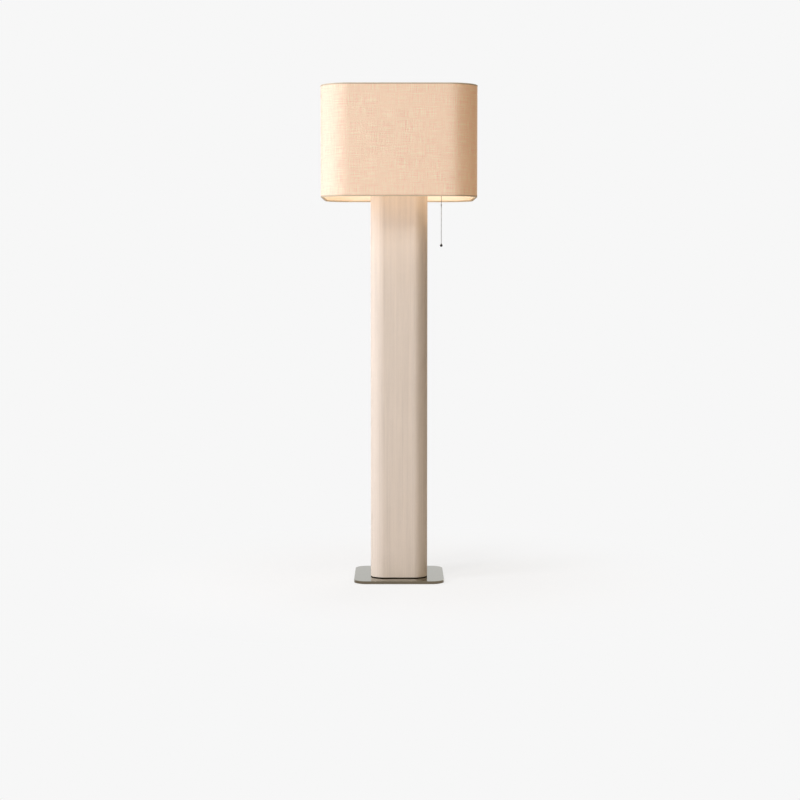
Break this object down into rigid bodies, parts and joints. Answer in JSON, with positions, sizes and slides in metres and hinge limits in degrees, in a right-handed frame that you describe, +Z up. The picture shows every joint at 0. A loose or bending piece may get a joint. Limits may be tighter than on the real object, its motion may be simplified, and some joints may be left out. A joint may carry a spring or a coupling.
{
  "type": "floor lamp",
  "caption": "Column floor lamp: square linen drum shade on a linen-covered column and a thin metal plate, with a pull chain.",
  "frame": {"origin": "middle of the underside of the base pad, on the floor", "axes": "+Z up along the column, -Y the front, +X towards the pull chain"},
  "size_m": [0.5612, 0.5612, 1.8],
  "materials": {
    "linen_column": "woven linen, fine upright grain",
    "linen_shade": "coarse woven linen",
    "hem_tape": "folded linen tape",
    "shade_film": "matt lampshade film",
    "plate_metal": "satin nickel",
    "pad_foam": "foam sheet",
    "black_board": "painted board",
    "core_board": "bare board",
    "zinc_steel": "zinc plated",
    "nickel_steel": "satin nickel",
    "white_wire": "white powder coat",
    "black_plastic": "moulded",
    "brass": "plain",
    "bulb_glass": "frosted",
    "bulb_metal": "plain",
    "chain_metal": "bead chain",
    "ball_dark": "dark",
    "white_plastic": "moulded"
  },
  "bodies": {
    "stand": {"base_pad": "pad_foam", "base_plate": "plate_metal", "shadow_spacer": "black_board", "base_screws": "zinc_steel", "screw_inserts": "zinc_steel", "column_core": "core_board", "column_linen": "linen_column", "foot_block": "core_board", "inner_boards": "core_board", "top_board": "core_board", "tie_tube": "zinc_steel", "tube_washer": "zinc_steel", "tube_nuts": "zinc_steel", "lead_bush": "black_plastic", "stem_sleeve": "nickel_steel", "hub_cup": "nickel_steel", "hub_lid": "nickel_steel", "riser_tube": "nickel_steel", "shade_seat": "nickel_steel", "spider_washer": "white_wire", "spider_arms": "white_wire", "finial": "nickel_steel", "shade_linen": "linen_shade", "shade_liner": "shade_film", "shade_top_ring": "white_wire", "shade_bottom_ring": "white_wire", "shade_top_hem": "hem_tape", "shade_bottom_hem": "hem_tape", "switch_housing": "black_plastic", "switch_cover": "black_plastic", "cover_screws": "zinc_steel", "drum_axle": "zinc_steel", "return_spring": "zinc_steel", "chain_guide": "nickel_steel", "left_arm": "nickel_steel", "left_holder_lead": "black_plastic", "left_holder_cap": "nickel_steel", "left_holder_shell": "nickel_steel", "left_holder_insulator": "black_plastic", "left_screw_shell": "brass", "left_centre_contact": "brass", "left_bulb_cap": "bulb_metal", "left_bulb_globe": "bulb_glass", "right_arm": "nickel_steel", "right_holder_lead": "black_plastic", "right_holder_cap": "nickel_steel", "right_holder_shell": "nickel_steel", "right_holder_insulator": "black_plastic", "right_screw_shell": "brass", "right_centre_contact": "brass", "right_bulb_cap": "bulb_metal", "right_bulb_globe": "bulb_glass"},
    "pull_hook": {"pull_hook": "chain_metal"},
    "upper_chain": {"upper_chain": "chain_metal", "chain_coupling": "chain_metal"},
    "lower_chain": {"lower_chain": "chain_metal", "chain_bell": "chain_metal", "pull_ball": "ball_dark"},
    "drum": {"ratchet_drum": "white_plastic"}
  },
  "joints": [
    {"name": "chain_pull", "type": "slide", "parent": "stand", "child": "pull_hook", "axis": [0, 0, -1], "range_m": [0, 0.012], "stiffness_N_per_m": 300, "springref_m": -0.01, "deforming": ["return_spring"]},
    {"name": "drum_turn", "type": "hinge", "parent": "stand", "child": "drum", "pos_m": [0.15, 0, 1.554], "axis": [0, 1, 0], "range_deg": [0, 115]},
    {"name": "chain_swing_side", "type": "hinge", "parent": "pull_hook", "child": "upper_chain", "pos_m": [0.156, 0, 1.5107], "axis": [0, -1, 0], "range_deg": [-9, 30]},
    {"name": "chain_swing_front", "type": "hinge", "parent": "upper_chain", "child": "lower_chain", "pos_m": [0.156, 0, 1.3774], "axis": [1, 0, 0], "range_deg": [-60, 60]}
  ],
  "couplings": [
    {"joint": "drum_turn", "follows": "chain_pull", "rad_per_m": 166.67}
  ]
}
